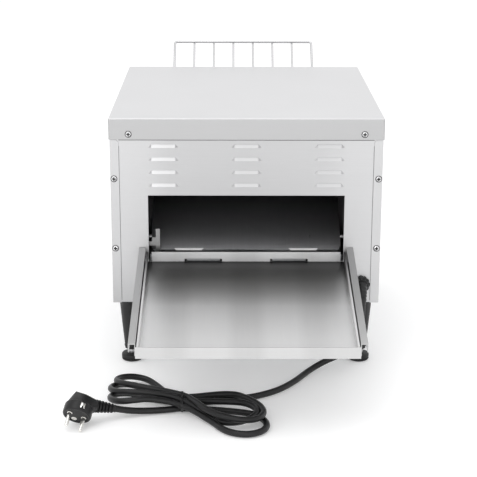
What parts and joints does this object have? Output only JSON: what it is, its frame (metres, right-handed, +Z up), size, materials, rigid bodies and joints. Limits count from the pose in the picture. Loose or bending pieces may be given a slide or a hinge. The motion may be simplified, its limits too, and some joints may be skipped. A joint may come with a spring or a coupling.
{
  "type": "conveyor oven",
  "caption": "Counter-top conveyor toaster oven in brushed steel with a wire loading rack, a sloping exit tray, levelling legs and a mains cord tied in a hank.",
  "frame": {"origin": "on the floor, under the middle of the machine's box without its cord", "axes": "+Z up, -Y towards the exit tray, +Y towards the loading rack, +X to the side with the cord's gland"},
  "size_m": [0.4202, 0.7654, 0.3808],
  "materials": {
    "stainless_case": "satin brushed",
    "tray_steel": "satin, reflective",
    "slide_steel": "bright rolled, reflects the dark chamber",
    "inner_steel": "plain rolled",
    "galvanised": "galvanised spangle",
    "quartz": "clear quartz",
    "ceramic": "unglazed ceramic",
    "belt_wire": "drawn wire",
    "machined_steel": "turned",
    "brass": "sintered",
    "chain_steel": "oiled",
    "motor_paint": "grey paint",
    "black_plastic": "moulded",
    "board": "lacquered board",
    "white_plastic": "moulded",
    "chrome_wire": "polished wire",
    "fascia": "satin black",
    "rocker_green": "translucent green",
    "lamp": "amber lens",
    "leg_rubber": "moulded rubber",
    "screw_steel": "bright",
    "cord_rubber": "matt jacket",
    "plug_plastic": "moulded",
    "pin_metal": "nickel plated"
  },
  "bodies": {
    "casing": {"top_cover": "stainless_case", "side_cover_left": "stainless_case", "side_cover_right": "stainless_case", "rear_panel": "stainless_case", "front_panel": "stainless_case", "base_pan": "galvanised", "inner_wall_left": "inner_steel", "inner_wall_right": "inner_steel", "chamber_floor": "inner_steel", "upper_reflector": "inner_steel", "lower_reflector": "inner_steel", "upper_quartz_tubes": "quartz", "lower_quartz_tubes": "quartz", "tube_holders": "ceramic", "sill_rail": "inner_steel", "deflector_slide": "slide_steel", "slide_tabs": "tray_steel", "deflector_rods": "inner_steel", "slide_latch": "inner_steel", "conveyor_belt": "belt_wire", "shaft_bushes": "brass", "drive_chain": "chain_steel", "gear_motor": "motor_paint", "fan_frame": "black_plastic", "control_board": "board", "terminal_block": "white_plastic", "control_fascia": "fascia", "speed_control": "black_plastic", "heat_switch": "black_plastic", "switch_housing": "black_plastic", "indicator_lamps": "lamp", "legs": "leg_rubber", "case_screws": "screw_steel", "cable_gland": "black_plastic", "strain_relief": "cord_rubber", "mains_lead": "cord_rubber", "cord_hank": "cord_rubber", "plug_lead": "cord_rubber", "hank_tie": "cord_rubber", "plug_body": "plug_plastic", "plug_pins": "pin_metal"},
    "exit_tray": {"exit_tray": "tray_steel", "tray_side_rails": "tray_steel"},
    "crumb_tray": {"crumb_tray": "stainless_case"},
    "wire_rack": {"wire_rack": "chrome_wire"},
    "drive": {"drive_shaft": "machined_steel", "drive_belt_sprockets": "machined_steel", "chain_sprocket": "machined_steel"},
    "idler": {"idler_shaft": "machined_steel", "idler_belt_sprockets": "machined_steel"},
    "motor_output": {"motor_output": "machined_steel"},
    "fan_rotor": {"fan_rotor": "black_plastic"},
    "speed_knob": {"speed_knob": "black_plastic"},
    "heat_knob": {"heat_knob": "black_plastic"},
    "power_rocker": {"power_rocker": "rocker_green"},
    "foot_rear_left": {"foot_pad_rear_left": "leg_rubber"},
    "foot_rear_right": {"foot_pad_rear_right": "leg_rubber"},
    "foot_front_left": {"foot_pad_front_left": "leg_rubber"},
    "foot_front_right": {"foot_pad_front_right": "leg_rubber"}
  },
  "joints": [
    {"name": "drive_spin", "type": "hinge", "parent": "casing", "child": "drive", "pos_m": [0, 0.00925, 0.245], "axis": [1, 0, 0], "continuous": true},
    {"name": "idler_spin", "type": "hinge", "parent": "casing", "child": "idler", "pos_m": [0, 0.23125, 0.245], "axis": [1, 0, 0], "continuous": true},
    {"name": "motor_spin", "type": "hinge", "parent": "casing", "child": "motor_output", "pos_m": [0.15, 0.03425, 0.123], "axis": [1, 0, 0], "continuous": true},
    {"name": "fan_spin", "type": "hinge", "parent": "casing", "child": "fan_rotor", "pos_m": [0, 0.14925, 0.11], "axis": [0, 0, 1], "continuous": true},
    {"name": "speed_turn", "type": "hinge", "parent": "casing", "child": "speed_knob", "pos_m": [-0.1, 0.27485, 0.123], "axis": [0, 1, 0], "range_deg": [0, 270]},
    {"name": "heat_turn", "type": "hinge", "parent": "casing", "child": "heat_knob", "pos_m": [-0.04, 0.27485, 0.123], "axis": [0, 1, 0], "range_deg": [0, 180]},
    {"name": "rocker_tip", "type": "hinge", "parent": "casing", "child": "power_rocker", "pos_m": [0.095, 0.27085, 0.123], "axis": [1, 0, 0], "range_deg": [0, 16]},
    {"name": "tray_pull", "type": "slide", "parent": "casing", "child": "exit_tray", "axis": [0, -1, 0], "range_m": [0, 0.12]},
    {"name": "crumb_pull", "type": "slide", "parent": "casing", "child": "crumb_tray", "axis": [0, 1, 0], "range_m": [0, 0.3]},
    {"name": "rack_lift", "type": "slide", "parent": "casing", "child": "wire_rack", "axis": [0, 0, 1], "range_m": [0, 0.03]},
    {"name": "foot_screw_rear_left", "type": "slide", "parent": "casing", "child": "foot_rear_left", "axis": [0, 0, -1], "range_m": [0, 0.01]},
    {"name": "foot_screw_rear_right", "type": "slide", "parent": "casing", "child": "foot_rear_right", "axis": [0, 0, -1], "range_m": [0, 0.01]},
    {"name": "foot_screw_front_left", "type": "slide", "parent": "casing", "child": "foot_front_left", "axis": [0, 0, -1], "range_m": [0, 0.01]},
    {"name": "foot_screw_front_right", "type": "slide", "parent": "casing", "child": "foot_front_right", "axis": [0, 0, -1], "range_m": [0, 0.01]}
  ],
  "couplings": [
    {"joint": "idler_spin", "follows": "drive_spin", "ratio": 1},
    {"joint": "motor_spin", "follows": "drive_spin", "ratio": 1.6}
  ]
}
